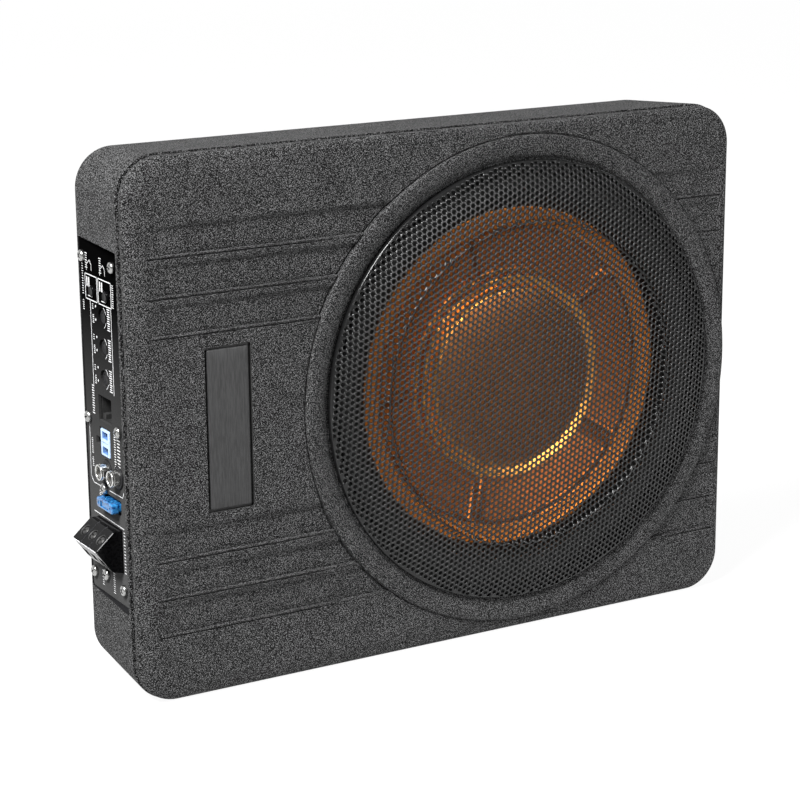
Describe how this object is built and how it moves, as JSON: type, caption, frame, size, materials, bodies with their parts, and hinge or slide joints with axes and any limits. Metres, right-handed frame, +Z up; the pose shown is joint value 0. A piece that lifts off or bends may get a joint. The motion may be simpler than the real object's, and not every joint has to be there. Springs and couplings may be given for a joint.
{
  "type": "powered car subwoofer",
  "caption": "Shallow powered subwoofer for a car: moulded box, driver behind a domed perforated grille, amplifier panel with controls, fuse and power terminal in one side.",
  "frame": {"origin": "middle of the bounding box on the surface that the part stands on, as pictured, on its long lower edge", "axes": "+X to the right seen from the front, +Y from the grille to the flat back, +Z up"},
  "size_m": [0.3702, 0.0752, 0.276],
  "materials": {
    "housing": "coarse sprayed grain",
    "badge": "fine satin",
    "grille": "satin black, perforated",
    "panel": "satin black with white printed lines",
    "seal": "closed-cell foam",
    "steel": "pressed and plated",
    "nickel": "bright nickel plate",
    "zinc": "zinc plate",
    "aluminium": "extruded",
    "cone": "amber anodised, spun",
    "rubber": "matt black",
    "ferrite": "ground grey",
    "coil": "enamelled copper wire",
    "spider_cloth": "resin-treated woven cotton",
    "black_plastic": "moulded gloss black",
    "white_plastic": "pale blue-white nylon",
    "board": "green solder mask",
    "fuse": "clear blue"
  },
  "bodies": {
    "housing": {"rear_shell": "housing", "front_cover": "housing", "housing_seal": "seal", "badge_plate": "badge", "grille": "grille", "driver_gasket": "seal", "driver_basket": "steel", "top_plate": "zinc", "magnet": "ferrite", "yoke": "zinc", "surround": "rubber", "spider": "spider_cloth", "terminal_tab": "board", "speaker_cable": "rubber", "control_panel": "panel", "remote_jack": "black_plastic", "high_level_socket": "white_plastic", "rca_jack_rear": "nickel", "rca_jack_front": "nickel", "fuse_holder": "black_plastic", "terminal_block": "black_plastic", "amp_board": "board", "capacitor_1": "black_plastic", "capacitor_2": "black_plastic", "choke": "coil", "transistor_1": "black_plastic", "transistor_2": "black_plastic", "heatsink": "aluminium", "shell_screw_1": "zinc", "shell_screw_2": "zinc", "shell_screw_3": "zinc", "shell_screw_4": "zinc", "panel_screw_1": "nickel", "panel_screw_2": "nickel", "panel_screw_3": "nickel", "panel_screw_4": "nickel", "panel_screw_5": "nickel", "panel_screw_6": "nickel", "panel_screw_7": "nickel", "panel_screw_8": "nickel", "crossover_body": "black_plastic", "boost_body": "black_plastic", "gain_body": "black_plastic", "phase_switch_body": "black_plastic", "input_switch_body": "black_plastic"},
    "cone_assembly": {"voice_coil": "coil", "cone": "cone", "dust_cap": "cone"},
    "blade_fuse": {"blade_fuse": "fuse"},
    "crossover_knob": {"crossover_knob": "black_plastic"},
    "boost_knob": {"boost_knob": "black_plastic"},
    "gain_knob": {"gain_knob": "black_plastic"},
    "phase_button": {"phase_button": "black_plastic"},
    "input_button": {"input_button": "black_plastic"},
    "terminal_screw_1": {"terminal_screw_1": "nickel"},
    "terminal_clamp_1": {"terminal_clamp_1": "zinc"},
    "terminal_screw_2": {"terminal_screw_2": "nickel"},
    "terminal_clamp_2": {"terminal_clamp_2": "zinc"},
    "terminal_screw_3": {"terminal_screw_3": "nickel"},
    "terminal_clamp_3": {"terminal_clamp_3": "zinc"}
  },
  "joints": [
    {"name": "cone_travel", "type": "slide", "parent": "housing", "child": "cone_assembly", "axis": [0, -1, 0], "range_m": [-0.004, 0.004], "stiffness_N_per_m": 3000, "deforming": ["surround", "spider"]},
    {"name": "crossover_turn", "type": "hinge", "parent": "housing", "child": "crossover_knob", "pos_m": [-0.1705, 0.0096, 0.1922], "axis": [1, 0, 0], "range_deg": [-140, 140]},
    {"name": "boost_turn", "type": "hinge", "parent": "housing", "child": "boost_knob", "pos_m": [-0.1705, 0.0096, 0.1767], "axis": [1, 0, 0], "range_deg": [-140, 140]},
    {"name": "gain_turn", "type": "hinge", "parent": "housing", "child": "gain_knob", "pos_m": [-0.1705, 0.0096, 0.1612], "axis": [1, 0, 0], "range_deg": [-140, 140]},
    {"name": "phase_push", "type": "slide", "parent": "housing", "child": "phase_button", "axis": [1, 0, 0], "range_m": [0, 0.0015], "stiffness_N_per_m": 300},
    {"name": "input_push", "type": "slide", "parent": "housing", "child": "input_button", "axis": [1, 0, 0], "range_m": [0, 0.0015], "stiffness_N_per_m": 300},
    {"name": "fuse_pull", "type": "slide", "parent": "housing", "child": "blade_fuse", "axis": [-1, 0, 0], "range_m": [0, 0.018]},
    {"name": "terminal_screw_1_turn", "type": "hinge", "parent": "housing", "child": "terminal_screw_1", "pos_m": [-0.1801, -0.00025, 0.0819], "axis": [0.6606, 0, -0.7507], "range_deg": [0, 1646]},
    {"name": "terminal_clamp_1_lift", "type": "slide", "parent": "housing", "child": "terminal_clamp_1", "axis": [-0.6606, 0, 0.7507], "range_m": [0, 0.0032]},
    {"name": "terminal_screw_2_turn", "type": "hinge", "parent": "housing", "child": "terminal_screw_2", "pos_m": [-0.1801, 0.00945, 0.0819], "axis": [0.6606, 0, -0.7507], "range_deg": [0, 1646]},
    {"name": "terminal_clamp_2_lift", "type": "slide", "parent": "housing", "child": "terminal_clamp_2", "axis": [-0.6606, 0, 0.7507], "range_m": [0, 0.0032]},
    {"name": "terminal_screw_3_turn", "type": "hinge", "parent": "housing", "child": "terminal_screw_3", "pos_m": [-0.1801, 0.01915, 0.0819], "axis": [0.6606, 0, -0.7507], "range_deg": [0, 1646]},
    {"name": "terminal_clamp_3_lift", "type": "slide", "parent": "housing", "child": "terminal_clamp_3", "axis": [-0.6606, 0, 0.7507], "range_m": [0, 0.0032]}
  ],
  "couplings": [
    {"joint": "terminal_screw_1_turn", "follows": "terminal_clamp_1_lift", "rad_per_m": 8976},
    {"joint": "terminal_screw_2_turn", "follows": "terminal_clamp_2_lift", "rad_per_m": 8976},
    {"joint": "terminal_screw_3_turn", "follows": "terminal_clamp_3_lift", "rad_per_m": 8976}
  ]
}
